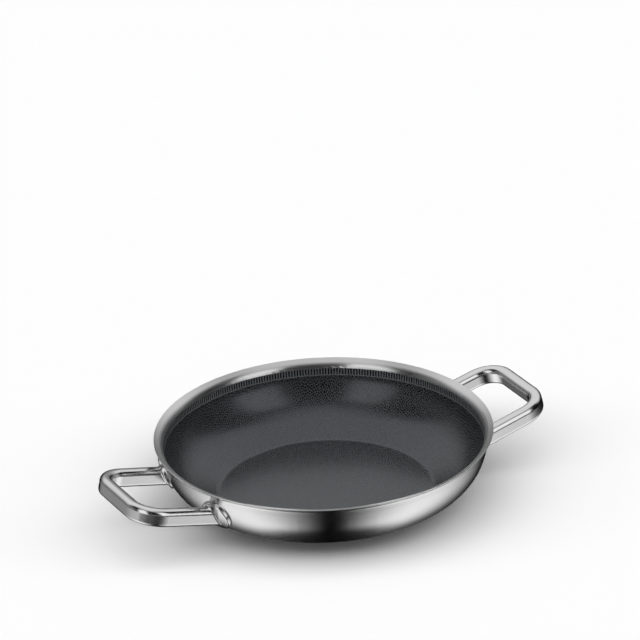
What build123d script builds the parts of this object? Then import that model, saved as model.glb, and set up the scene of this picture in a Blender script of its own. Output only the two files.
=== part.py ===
from build123d import *
import os
from math import asin, cos, radians, sin, sqrt, tan

# A serving pan: a clad bowl with a pouring lip, and two hollow loop handles welded on through oval feet.
# Millimetres. Z is up, the base rests on Z = 0 round the origin, and the handles lie along X.

# Outside of the bowl
base_radius = 90.0  # where the flat base would meet the flank in a sharp corner
flank_rise = 22.5  # height at which the flank, drawn on, would meet the upper wall
wall_radius = 135.8  # outside of the upper wall, drawn on up to the height of the lip
wall_lean = 4.2  # how far the upper wall leans outwards from upright
bowl_height = 56.4
straight_depth = 10.0  # the upper wall is straight from this far below the lip
base_turn = 12.0  # outside radius where the base meets the flank
lip_turn = 4.0  # outside radius under the lip

# Pouring lip
lip_reach = 4.2  # how far the lip stands out beyond the wall
lip_angle = 31.0  # rise of the lip above level
lip_edge = 1.8  # height of the ground edge
lip_crown = 0.45  # how much the ground edge is rounded, top and bottom

# Sheet
outer_steel = 0.5
core_sheet = 1.6
inner_steel = 0.5
coating_film = 0.15
coating_drop = 7.0  # bare steel between the coating and the top of the lip

# Loop handles
arm_spacing = 84.6  # between the centrelines of the arms at the bowl
bar_spacing = 82.6  # the same, drawn on to the outer bar: the arms close in a little
handle_reach = 47.9  # from the lip to the centreline of the outer bar
handle_height = 31.7  # centreline of an arm where it meets the wall
handle_rise = 13.5  # slope of the loop above level
loop_turn = 21.0  # centreline radius of the bends
tube_width = 10.8
tube_height = 14.5
tube_upper_round = 4.5
tube_lower_round = 3.2
tube_wall = 1.4

# Feet and welds
foot_width = 29.0
foot_height = 28.0
foot_offset = 2.5  # how far a foot sits towards the outside of its loop
foot_lift = 1.0  # how far it sits above the seat of its arm
foot_thickness = 2.8
foot_round = 1.4
weld_leg = 1.0
weld_bevel = 0.7

# Pieces cut to the wall start this far inside it
overrun = 25.0

# Directions of the flank, the upper wall and the lip in the section of the bowl
sheet = outer_steel + core_sheet + inner_steel
lip_radius = wall_radius + lip_reach
wall = Vector(sin(radians(wall_lean)), cos(radians(wall_lean)))
flank_top = Vector(wall_radius, bowl_height) - wall * ((bowl_height - flank_rise) / wall.Y)
flank = (flank_top - Vector(base_radius, 0)).normalized()
lip = Vector(cos(radians(lip_angle)), sin(radians(lip_angle)))


def crossing(start, along, other_start, other_along):
    """Point where two lines in the section of the bowl cross."""
    gap = other_start - start
    spread = along.X * other_along.Y - along.Y * other_along.X
    return start + along * ((gap.X * other_along.Y - gap.Y * other_along.X) / spread)


def inward(along, depth):
    """Step into the bowl, square to a line of its section."""
    return Vector(-along.Y, along.X) * depth


def bowl_corners(depth):
    """Sharp corners of the section at a depth into the sheet, and the top of the straight wall."""
    wall_top = Vector(wall_radius, bowl_height) + inward(wall, depth)
    flank_foot = Vector(base_radius, 0) + inward(flank, depth)
    base_corner = crossing(Vector(0, depth), Vector(1, 0), flank_foot, flank)
    wall_corner = crossing(flank_foot, flank, wall_top, wall)
    return base_corner, wall_corner, wall_top


# One arc turns the flank up into the wall and ends where the straight wall starts. The arms seat on it
straight_start = Vector(wall_radius, bowl_height) - wall * (straight_depth / wall.Y)
turn_run = (straight_start - flank_top).length
flank_turn = turn_run / tan(radians(flank.get_angle(wall)) / 2)
turn_centre = straight_start + inward(wall, flank_turn)
seat_dip = asin((turn_centre.Y - handle_height) / flank_turn)
seat_radius = turn_centre.X + flank_turn * cos(seat_dip)
seat_x = sqrt(seat_radius**2 - (arm_spacing / 2) ** 2)


def edge_point(depth):
    """Point of the rounded, ground edge of the lip at a depth into the sheet."""
    share = depth / sheet
    radius = lip_radius - lip_crown * (2 * share - 1) ** 2
    return Vector(radius, bowl_height - lip_edge * (1 - share))


def bowl_line(depth):
    """Section of the bowl at a depth into the sheet, from its centre to the edge of the lip."""
    base_corner, wall_corner, wall_top = bowl_corners(depth)
    edge = edge_point(depth)
    lip_root = crossing(wall_top, wall, edge, lip)
    turns = [base_turn - depth, flank_turn - depth, lip_turn + depth]
    return FilletPolyline((0, depth), base_corner, wall_corner, lip_root, edge, radius=turns)


def layer_section(depth, thickness):
    """Half section of one layer of the bowl."""
    with BuildSketch(Plane.XZ) as section:
        with BuildLine():
            below = bowl_line(depth)
            above = bowl_line(depth + thickness)
            Line(below @ 0, above @ 0)
            ThreePointArc(below @ 1, edge_point(depth + thickness / 2), above @ 1)
        make_face()
    return section.sketch


def inside_wall(grow):
    """Everything inside the flank and the straight wall, grown outwards by an even distance."""
    with BuildPart() as inside:
        with BuildSketch(Plane.XZ):
            with BuildLine():
                turns = [base_turn + grow, flank_turn + grow]
                outside = FilletPolyline((0, -grow), *bowl_corners(-grow), radius=turns)
                Polyline(outside @ 1, (0, (outside @ 1).Y), outside @ 0)
            make_face()
        revolve(axis=Axis.Z)
    return inside.part


def loop_plane(side):
    """Plane of a loop: X runs out along the arms from between their seats, and Z is square to the loop."""
    along = (side * cos(radians(handle_rise)), 0, sin(radians(handle_rise)))
    upright = (-side * sin(radians(handle_rise)), 0, cos(radians(handle_rise)))
    return Plane(origin=(side * seat_x, 0, handle_height), x_dir=along, z_dir=upright)


def loop_path(side):
    """Centreline of a loop: one arm out, the outer bar, and the other arm back."""
    reach = (lip_radius + handle_reach - seat_x) / cos(radians(handle_rise))
    start_spacing = arm_spacing + (arm_spacing - bar_spacing) * overrun / reach
    with BuildLine(loop_plane(side)) as path:
        FilletPolyline(
            (-overrun, -start_spacing / 2),
            (reach, -bar_spacing / 2),
            (reach, bar_spacing / 2),
            (-overrun, start_spacing / 2),
            radius=loop_turn,
        )
    return path.line


def arm_plane(side, end):
    """Plane across the inner end of an arm, facing outwards, with Y towards the top of the tube."""
    path = loop_path(side)
    outwards = (path % end) * (1 - 2 * end)
    return Plane(origin=path @ end, x_dir=loop_plane(side).z_dir.cross(outwards), z_dir=outwards)


def tube_outline(plane, grow=0.0):
    """Outline of the tube, rounder along the top than below, grown by an even distance."""
    with BuildSketch(plane) as outline:
        Rectangle(tube_width, tube_height)
        fillet(outline.vertices().group_by(Axis.Y)[-1], tube_upper_round)
        fillet(outline.vertices().group_by(Axis.Y)[0], tube_lower_round)
        if grow:
            offset(amount=grow)
    return outline.sketch


def foot_plane(side, end):
    """Plane square to the wall where an arm seats, facing outwards."""
    across = (side if end == 1 else -side) * arm_spacing / 2
    bearing = Vector(side * seat_x, across) / seat_radius
    outwards = bearing * cos(seat_dip) - Vector(0, 0, sin(seat_dip))
    seat = bearing * seat_radius + Vector(0, 0, handle_height)
    return Plane(origin=seat, x_dir=Vector(0, 0, 1).cross(bearing), z_dir=outwards)


def end_edges(piece, outwards):
    """Edges round the face of a piece that looks outwards."""
    edges = piece.faces().filter_by(lambda face: face.normal_at().dot(outwards) > 0.8).edges()
    return edges.filter_by(lambda edge: sum(edge.is_same(other) for other in edges) == 1)


os.makedirs("parts", exist_ok=True)

# The clad sheet: steel outside, aluminium between, steel inside, each seated on the one before
with BuildPart() as outer_shell:
    add(layer_section(0, outer_steel))
    revolve(axis=Axis.Z)
outer_shell.part.label = "outer_shell"
export_step(outer_shell.part, "parts/outer_shell.step")

with BuildPart() as aluminium_core:
    add(layer_section(outer_steel, core_sheet))
    revolve(axis=Axis.Z)
aluminium_core.part.label = "aluminium_core"
export_step(aluminium_core.part, "parts/aluminium_core.step")

with BuildPart() as inner_shell:
    add(layer_section(outer_steel + core_sheet, inner_steel))
    revolve(axis=Axis.Z)
inner_shell.part.label = "inner_shell"
export_step(inner_shell.part, "parts/inner_shell.step")

# The coating follows the inner steel and stops below the lip
with BuildPart() as nonstick_coating:
    add(layer_section(sheet, coating_film))
    revolve(axis=Axis.Z)
    split(bisect_by=Plane.XY.offset(bowl_height - coating_drop), keep=Keep.BOTTOM)
nonstick_coating.part.label = "nonstick_coating"
export_step(nonstick_coating.part, "parts/nonstick_coating.step")

# Each loop is one bent tube, open inside, with its ends cut to the curved faces of its feet
for hand, side in {"left": -1, "right": 1}.items():
    with BuildPart() as handle:
        add(tube_outline(arm_plane(side, 0)))
        sweep(path=loop_path(side))
        add(tube_outline(arm_plane(side, 0), -tube_wall))
        sweep(path=loop_path(side), mode=Mode.SUBTRACT)
        add(inside_wall(foot_thickness), mode=Mode.SUBTRACT)
    handle.part.label = f"{hand}_handle"
    export_step(handle.part, f"parts/{hand}_handle.step")

    for place, end in {"front": (1 - side) // 2, "back": (1 + side) // 2}.items():
        arm = arm_plane(side, end)
        seat = foot_plane(side, end)

        # An oval foot, bent to the wall, with its outer rim rounded
        with BuildPart() as foot:
            with BuildSketch(seat):
                with Locations(((2 * end - 1) * foot_offset, foot_lift)):
                    Ellipse(foot_width / 2, foot_height / 2)
            extrude(amount=overrun, both=True)
            add(inside_wall(foot_thickness), mode=Mode.INTERSECT)
            fillet(end_edges(foot, seat.z_dir), foot_round)
            add(inside_wall(0), mode=Mode.SUBTRACT)
        foot.part.label = f"{hand}_handle_{place}_foot"
        export_step(foot.part, f"parts/{hand}_handle_{place}_foot.step")

        # A dressed weld bead round the tube, where it stands on the foot
        with BuildPart() as weld:
            add(tube_outline(arm, weld_leg))
            extrude(amount=2 * overrun, dir=arm.z_dir)
            add(inside_wall(foot_thickness + weld_leg), mode=Mode.INTERSECT)
            chamfer(end_edges(weld, seat.z_dir), weld_bevel)
            add(tube_outline(arm))
            extrude(amount=2 * overrun, dir=arm.z_dir, mode=Mode.SUBTRACT)
            add(inside_wall(foot_thickness), mode=Mode.SUBTRACT)
        weld.part.label = f"{hand}_handle_{place}_weld"
        export_step(weld.part, f"parts/{hand}_handle_{place}_weld.step")
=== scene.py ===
import math
import bpy
import numpy as np
from mathutils import Matrix

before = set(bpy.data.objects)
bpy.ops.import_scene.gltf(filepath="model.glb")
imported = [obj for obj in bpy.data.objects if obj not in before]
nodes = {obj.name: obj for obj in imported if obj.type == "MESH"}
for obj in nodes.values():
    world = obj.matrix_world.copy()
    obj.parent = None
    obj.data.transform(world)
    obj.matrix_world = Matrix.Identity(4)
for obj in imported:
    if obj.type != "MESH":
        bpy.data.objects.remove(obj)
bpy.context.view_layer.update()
print("serving pan: loaded", len(nodes), "pieces")


class Signal:
    # An output socket that reads as a number: a sum or product of signals adds its Math nodes
    def __init__(self, graph, socket):
        self.graph, self.socket = graph, socket

    def math(self, operation, *others):
        return self.graph.math(operation, self, *others)

    def __add__(self, other): return self.math("ADD", other)
    def __radd__(self, other): return self.math("ADD", other)
    def __mul__(self, other): return self.math("MULTIPLY", other)
    def __rmul__(self, other): return self.math("MULTIPLY", other)
    def __sub__(self, other): return self.math("SUBTRACT", other)
    def __rsub__(self, other): return self.graph.math("SUBTRACT", other, self)
    def __truediv__(self, other): return self.math("DIVIDE", other)
    def __abs__(self): return self.math("ABSOLUTE")


class Graph:
    # The node tree of a material or of the world, empty at the start
    def __init__(self, owner):
        owner.use_nodes = True
        self.tree = owner.node_tree
        self.tree.nodes.clear()

    def node(self, kind, settings=None, inputs=None, output=0):
        # Any node: settings first, then the values or links of its inputs, then the output that is wanted
        made = self.tree.nodes.new(kind)
        for name, value in (settings or {}).items():
            setattr(made, name, value)
        for name, value in (inputs or {}).items():
            if isinstance(value, Signal):
                self.tree.links.new(value.socket, made.inputs[name])
            else:
                made.inputs[name].default_value = value
        return Signal(self, made.outputs[output]) if len(made.outputs) else made

    def math(self, operation, *values):
        return self.node("ShaderNodeMath", {"operation": operation}, dict(enumerate(values)))

    def rise(self, value, low, high):
        # Smooth step from 0 at low to 1 at high
        inputs = {"Value": value, "From Min": low, "From Max": high}
        return self.node("ShaderNodeMapRange", {"interpolation_type": "SMOOTHSTEP"}, inputs)

    def hill(self, value, start, top, end, finish):
        # 0 before start, 1 between top and end, 0 after finish
        return self.rise(value, start, top) * (1 - self.rise(value, end, finish))

    def blendColors(self, factor, first, second):
        inputs = {0: factor, 6: first, 7: second}
        return self.node("ShaderNodeMix", {"data_type": "RGBA"}, inputs, 2)

    def place(self, stretch=(1, 1, 1)):
        # Object coordinates in metres, stretched
        coordinates = self.node("ShaderNodeTexCoord", output="Object")
        return self.node("ShaderNodeMapping", None, {"Vector": coordinates, "Scale": stretch})

    def axes(self, vector):
        return [self.node("ShaderNodeSeparateXYZ", None, {0: vector}, n) for n in range(3)]

    def joined(self, x, y, z):
        return self.node("ShaderNodeCombineXYZ", None, {0: x, 1: y, 2: z})

    def noise(self, vector, scale, detail=2.0):
        inputs = {"Vector": vector, "Scale": scale, "Detail": detail}
        return self.node("ShaderNodeTexNoise", None, inputs)

    def bump(self, height, distance, strength=1.0):
        inputs = {"Height": height, "Distance": distance, "Strength": strength}
        return self.node("ShaderNodeBump", None, inputs)

    def surface(self, inputs):
        return self.node("ShaderNodeBsdfPrincipled", None, inputs)

    def finish(self, shader, kind="ShaderNodeOutputMaterial"):
        self.node(kind, None, {"Surface": shader})


def grey(level, blue=0.0):
    return (level, level * (1 + blue / 2), level * (1 + blue), 1)


# The camera stands in front of the pan, to the left and above, and its long lens looks down on it
camera = {
    "azimuth": -27.51,
    "elevation": 25.15,
    "roll": -2.50,
    "distance": 3.79488,
    "aside": 0.00500,
    "below": -0.14214,
    "focalPixels": 4580.97,
    "imagePixels": 640,
}


def addCamera(view):
    # The columns of the camera's turn are its right, its up and its back; the roll turns right towards up
    azimuth, elevation, roll = (math.radians(view[name]) for name in ("azimuth", "elevation", "roll"))
    back = np.array([
        math.sin(azimuth) * math.cos(elevation),
        -math.cos(azimuth) * math.cos(elevation),
        math.sin(elevation),
    ])
    level = np.array([math.cos(azimuth), math.sin(azimuth), 0])
    upright = np.cross(back, level)
    right = math.cos(roll) * level + math.sin(roll) * upright
    up = math.cos(roll) * upright - math.sin(roll) * level
    columns = np.stack([right, up, back], axis=1)
    place = columns @ np.array([-view["aside"], -view["below"], view["distance"]])
    lens = bpy.data.cameras.new("camera")
    lens.sensor_width = 36
    lens.lens = view["focalPixels"] / view["imagePixels"] * lens.sensor_width
    lens.clip_start, lens.clip_end = 0.05, 50
    stand = bpy.data.objects.new("camera", lens)
    pose = np.eye(4)
    pose[:3, :3], pose[:3, 3] = columns, place
    stand.matrix_world = Matrix(pose.tolist())
    bpy.context.scene.collection.objects.link(stand)
    bpy.context.scene.camera = stand


addCamera(camera)
print("camera placed")

# The studio: a softbox over the pan lights it, and polished metal mirrors lights with dark gaps between them.
# Each spread is in degrees: start, full, end of full and finish, round from the front to the right, or up
studio = {
    "frontAzimuth": -117.5,
    "dome": 0.14,  # the level all round, for what isn't mirrored
    "overhead": 1.72,  # what the long softbox over the pan adds
    "overheadArc": (36, 50, 98, 116),
    "afterDiffuse": 0.10,  # what metal mirrors where only its own shadow on the floor sees it
    "gapCentre": 3,
    "gap": 0.001,
    "side": 1.15,
    "sideRise": (2, 70),
    "sideFade": (78, 155),
    "sideHeight": (-76, -62, -28, -19),
    "farNear": 0.7,  # the far floor on the left, towards the front and away from it
    "farAway": 0.3,
    "farFade": (-117, -60),
    "farSpread": (-150, -122, -58, -46),
    "farHeight": (-24, -18, -8, -1),
    "glow": 0.14,
    "glowSpread": (-30, -8, 16, 40),
    "glowHeight": (-20, -9, 0, 14),
    "strips": 1.15,
    "leftStrip": (-58, -50, -24, -18),
    "rightStrip": (26, 34, 60, 70),
    "stripHeight": (-9, -2, 48, 60),
    "wall": 0.2,
    "wallSpread": (-150, -125, -80, -62),
    "wallHeight": (-10, 0, 20, 40),
    "behind": 0.85,
    "behindRise": (98, 118),
    "behindHeight": (0, 36),
    "top": 0.8,
    "topHeight": (52, 82),
}


def addStudio(light):
    world = bpy.data.worlds.new("studio")
    bpy.context.scene.world = world
    graph = Graph(world)
    direction = graph.node("ShaderNodeTexCoord", output="Generated")
    turned = graph.node("ShaderNodeMapping", None, {
        "Vector": direction,
        "Rotation": (0, 0, math.radians(-light["frontAzimuth"])),
    })
    x, y, z = graph.axes(turned)
    around = y.math("ARCTAN2", x) * (180 / math.pi)  # degrees from the front, to the right
    height = z.math("ARCSINE") * (180 / math.pi)  # degrees above level
    aside = abs(around - light["gapCentre"])
    # Below level: dark in front, bright to both sides and fainter behind
    low = graph.rise(aside, *light["sideRise"]) * (1 - graph.rise(aside, *light["sideFade"])) * light["side"]
    low = low * graph.hill(height, *light["sideHeight"])
    # The floor reaches up to the horizon on the far left
    far = graph.hill(around, *light["farSpread"]) * graph.hill(height, *light["farHeight"])
    gain = light["farNear"] - light["farAway"]
    far = far * (light["farAway"] + gain * graph.rise(around, *light["farFade"]))
    # A faint glow in the dark gap in front, just below level
    glow = graph.hill(around, *light["glowSpread"]) * graph.hill(height, *light["glowHeight"]) * light["glow"]
    # Two strips beside the camera, of which the right one is wider
    strips = graph.hill(around, *light["leftStrip"]) + graph.hill(around, *light["rightStrip"])
    strips = strips * graph.hill(height, *light["stripHeight"]) * light["strips"]
    # A faint wall far to the left
    left = graph.hill(around, *light["wallSpread"]) * graph.hill(height, *light["wallHeight"]) * light["wall"]
    # Behind and overhead
    back = graph.rise(aside, *light["behindRise"]) * graph.rise(height, *light["behindHeight"])
    back = back * light["behind"]
    top = graph.rise(height, *light["topHeight"]) * light["top"]
    mirrored = low + far + glow + strips
    for other in (left, back, top):
        mirrored = mirrored.math("MAXIMUM", other)
    mirrored = mirrored + light["gap"]
    isCamera = graph.node("ShaderNodeLightPath", output="Is Camera Ray")
    isGlossy = graph.node("ShaderNodeLightPath", output="Is Glossy Ray")
    isBounced = graph.node("ShaderNodeLightPath", output="Diffuse Depth").math("GREATER_THAN", 0.5)
    mirrored = mirrored + isBounced * (light["afterDiffuse"] - mirrored)
    # The softbox that lights the floor runs from side to side: 0 degrees is the front, 90 overhead
    over = z.math("ARCTAN2", x) * (180 / math.pi)
    dome = light["dome"] + light["overhead"] * graph.hill(over, *light["overheadArc"])
    seen = dome + isGlossy * (mirrored - dome)
    seen = seen + isCamera * (1 - seen)
    background = graph.node("ShaderNodeBackground", None, {"Color": (1, 1, 1, 1), "Strength": seen})
    graph.finish(background, "ShaderNodeOutputWorld")
    world.cycles.sampling_method = "NONE"  # so that each ray meets the studio by its own kind


def addFloor(halfSize=4.0, drop=0.0003, paleness=0.97):
    # A flat square just under the pan
    corners = np.array([(-1, -1), (1, -1), (1, 1), (-1, 1)]) * halfSize
    mesh = bpy.data.meshes.new("floor")
    mesh.from_pydata([(x, y, -drop) for x, y in corners], [], [(0, 1, 2, 3)])
    floor = bpy.data.objects.new("floor", mesh)
    bpy.context.scene.collection.objects.link(floor)
    material = bpy.data.materials.new("paleFloor")
    graph = Graph(material)
    graph.finish(graph.surface({"Base Color": grey(paleness), "Roughness": 1.0, "Specular IOR Level": 0.0}))
    mesh.materials.append(material)
    floor.visible_glossy = False


addStudio(studio)
addFloor()
view = bpy.context.scene.view_settings
view.view_transform = "Standard"
print("studio and floor placed")


def cover(material, *names):
    for name in names:
        for slot in nodes[name].material_slots:
            slot.material = material


# Steel brushed round the bowl: fine rings, which stretch what it mirrors up and down
bowlSteel = {
    "colour": 0.73,
    "outsideRoughness": 0.21,
    "insideRoughness": 0.30,
    "stretch": 0.9,
    "turn": 0.25,
    "ringsPerMetre": 2600,
    "depth": 0.000003,
    "cloudsPerMetre": 22,
    "cloudStrength": 0.02,
    "ringStrength": 0.05,
}


def makeBowlSteel(name, look, roughness):
    material = bpy.data.materials.new(name)
    graph = Graph(material)
    x, y, z = graph.axes(graph.place())
    radius = (x * x + y * y).math("SQRT")
    # Noise on radius and height alone, drawn out along the circle
    rings = graph.noise(graph.joined(radius, z, 0.0), look["ringsPerMetre"], 3)
    clouds = graph.noise(graph.place(), look["cloudsPerMetre"], 2)
    level = 1 - look["ringStrength"] + look["ringStrength"] * rings + look["cloudStrength"] * clouds
    colour = graph.blendColors(level, grey(0.0), grey(look["colour"]))
    graph.finish(graph.surface({
        "Base Color": colour,
        "Metallic": 1.0,
        "Roughness": roughness + look["ringStrength"] * (rings - 0.5),
        "Anisotropic": look["stretch"],
        "Anisotropic Rotation": look["turn"],
        "Normal": graph.bump(rings, look["depth"]),
    }))
    return material


cover(makeBowlSteel("outsideSteel", bowlSteel, bowlSteel["outsideRoughness"]), "outer_shell")
cover(makeBowlSteel("insideSteel", bowlSteel, bowlSteel["insideRoughness"]), "inner_shell")
print("bowl steel made")

# Aluminium core, seen only as a hair line in the ground edge
coreMetal = {"colour": 0.93, "roughness": 0.55, "grain": 900}


def makeCoreMetal(look):
    material = bpy.data.materials.new("coreMetal")
    graph = Graph(material)
    grain = graph.noise(graph.place(), look["grain"], 3)
    graph.finish(graph.surface({
        "Base Color": graph.blendColors(grain, grey(look["colour"] * 0.9), grey(look["colour"])),
        "Metallic": 1.0,
        "Roughness": look["roughness"] + 0.1 * (grain - 0.5),
    }))
    return material


cover(makeCoreMetal(coreMetal), "aluminium_core")

# Handles: polished, with a fine grain
handleSteel = {
    "colour": 0.76,
    "roughness": 0.18,
    "grain": 1400,
    "grainDepth": 0.000001,
    "grainStretch": (0.12, 1, 1),
    "cloudsPerMetre": 40,
    "cloudStrength": 0.08,
    "cloudRoughness": 0.05,
    "grainRoughness": 0.03,
}


def makeHandleSteel(name, look):
    material = bpy.data.materials.new(name)
    graph = Graph(material)
    grain = graph.noise(graph.place(look["grainStretch"]), look["grain"], 3)
    clouds = graph.noise(graph.place(), look["cloudsPerMetre"], 2)
    level = 1 - look["cloudStrength"] + look["cloudStrength"] * clouds
    roughness = look["roughness"] + look["cloudRoughness"] * (clouds - 0.5)
    graph.finish(graph.surface({
        "Base Color": graph.blendColors(level, grey(0.0), grey(look["colour"])),
        "Metallic": 1.0,
        "Roughness": roughness + look["grainRoughness"] * grain,
        "Normal": graph.bump(grain, look["grainDepth"]),
    }))
    return material


handlePieces = [name for name in nodes if "handle" in name]
cover(makeHandleSteel("handleSteel", handleSteel), *handlePieces)
print("handle steel made")

# Coating: near black, with a net of dull steel lines, a ring of dashes and a thin line under them
coating = {
    "colour": 0.004,
    "roughness": 0.21,
    "netPitch": 0.0020,
    "netLine": 0.09,  # half a line's width, as a share of the pitch
    "scatter": 0.8,
    "line": 0.055,
    "ring": 0.13,  # the dashes and the thin line
    "lineRoughness": 0.55,
    "dashes": 344,
    "dashShape": (0.22, 0.32, 0.68, 0.78),  # as shares of the dashes' pitch
    "dashFrom": 0.0439,  # heights above the base
    "lineFrom": 0.0431,
    "drawnOut": 0.45,  # how much the net was drawn out as the bowl was formed
    "etchDepth": 0.00002,
    "grain": 1500,
    "grainRoughness": 0.06,
}


def makeCoating(look):
    material = bpy.data.materials.new("coating")
    graph = Graph(material)
    x, y, z = graph.axes(graph.place())
    radius = (x * x + y * y).math("SQRT")
    # The net was flat before the bowl was drawn, so it is laid out by the way along the wall
    spread = 1 + look["drawnOut"] * z / radius.math("MAXIMUM", 0.02)
    edge = graph.node("ShaderNodeTexVoronoi", {
        "voronoi_dimensions": "2D",
        "feature": "DISTANCE_TO_EDGE",
    }, {
        "Vector": graph.joined(x * spread, y * spread, 0.0),
        "Scale": 1 / look["netPitch"],
        "Randomness": look["scatter"],
    })
    net = 1 - graph.rise(edge, look["netLine"] * 0.6, look["netLine"] * 1.4)
    around = y.math("ARCTAN2", x) * (look["dashes"] / (2 * math.pi))
    dash = graph.hill(around.math("FRACT"), *look["dashShape"])
    inRing = z.math("GREATER_THAN", look["dashFrom"])
    inLine = z.math("GREATER_THAN", look["lineFrom"]) * (1 - inRing)
    ring = (dash * inRing).math("MAXIMUM", inLine)
    bare = (net * (1 - inRing)).math("MAXIMUM", ring)
    black = graph.blendColors(bare, grey(look["colour"], 0.6), grey(look["line"], 0.05))
    grain = graph.noise(graph.place(), look["grain"], 2)
    smooth = look["roughness"] + look["grainRoughness"] * (grain - 0.5)
    graph.finish(graph.surface({
        "Base Color": graph.blendColors(ring, black, grey(look["ring"], 0.05)),
        "Roughness": smooth + bare * (look["lineRoughness"] - smooth),
        "Specular IOR Level": 1.0,
        "Specular Tint": (0.88, 0.94, 1.0, 1),
        "Normal": graph.bump(bare, look["etchDepth"]),
    }))
    return material


cover(makeCoating(coating), "nonstick_coating")
print("coating made")
